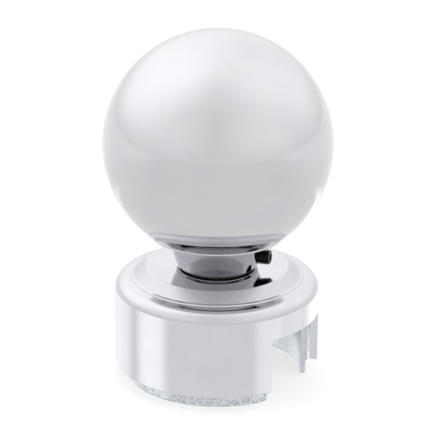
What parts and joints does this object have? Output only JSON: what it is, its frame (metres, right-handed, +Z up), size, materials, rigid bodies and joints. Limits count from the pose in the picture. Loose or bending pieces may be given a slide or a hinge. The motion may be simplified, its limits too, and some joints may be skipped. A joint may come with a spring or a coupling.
{
  "type": "ball gearshift knob with valve adapter",
  "caption": "Chrome ball knob on a tapered neck with a side set screw, threaded on a round skirted valve adapter with a side window.",
  "frame": {"origin": "centre of the lower rim of the inner sleeve, on the knob's axis, at the height the assembly stands on", "axes": "+Z up along the knob's axis; +X through the middle of the window in the skirt"},
  "size_m": [0.0588, 0.0588, 0.0922],
  "materials": {
    "chrome": "mirror bright chrome plate",
    "plated_casting": "bright but rough plated casting",
    "black_oxide": "black oxide, slightly oily",
    "zinc_plate": "clear zinc plate",
    "brass": "machined",
    "black_rubber": "matt"
  },
  "bodies": {
    "adapter": {"adapter_cover": "chrome", "adapter_sleeve": "plated_casting", "mounting_stud": "zinc_plate", "stud_nut": "zinc_plate", "stud_lock_washer": "zinc_plate", "stud_flat_washer": "zinc_plate", "neck_washer": "black_rubber", "cover_screw_1": "zinc_plate", "cover_screw_2": "zinc_plate", "cover_screw_3": "zinc_plate", "cover_screw_lock_washer_1": "zinc_plate", "cover_screw_lock_washer_2": "zinc_plate", "cover_screw_lock_washer_3": "zinc_plate", "valve_screw_insert_1": "brass", "valve_screw_insert_2": "brass", "cover_locating_pin": "zinc_plate"},
    "knob_insert": {"knob_thread_insert": "brass"},
    "knob": {"knob_ball": "chrome", "knob_neck": "chrome"},
    "set_screw": {"neck_set_screw": "black_oxide"}
  },
  "joints": [
    {"name": "knob_lift", "type": "slide", "parent": "adapter", "child": "knob_insert", "axis": [0, 0, 1], "range_m": [0, 0.01271]},
    {"name": "knob_turn", "type": "hinge", "parent": "knob_insert", "child": "knob", "pos_m": [0, 0, 0.0333], "axis": [0, 0, 1], "range_deg": [0, 2340]},
    {"name": "set_screw_travel", "type": "slide", "parent": "knob", "child": "set_screw", "axis": [-0.9724, -0.2334, 0], "range_m": [-0.0022, 0.0023]}
  ],
  "couplings": [
    {"joint": "knob_lift", "follows": "knob_turn", "m_per_rad": 0.00031096}
  ]
}
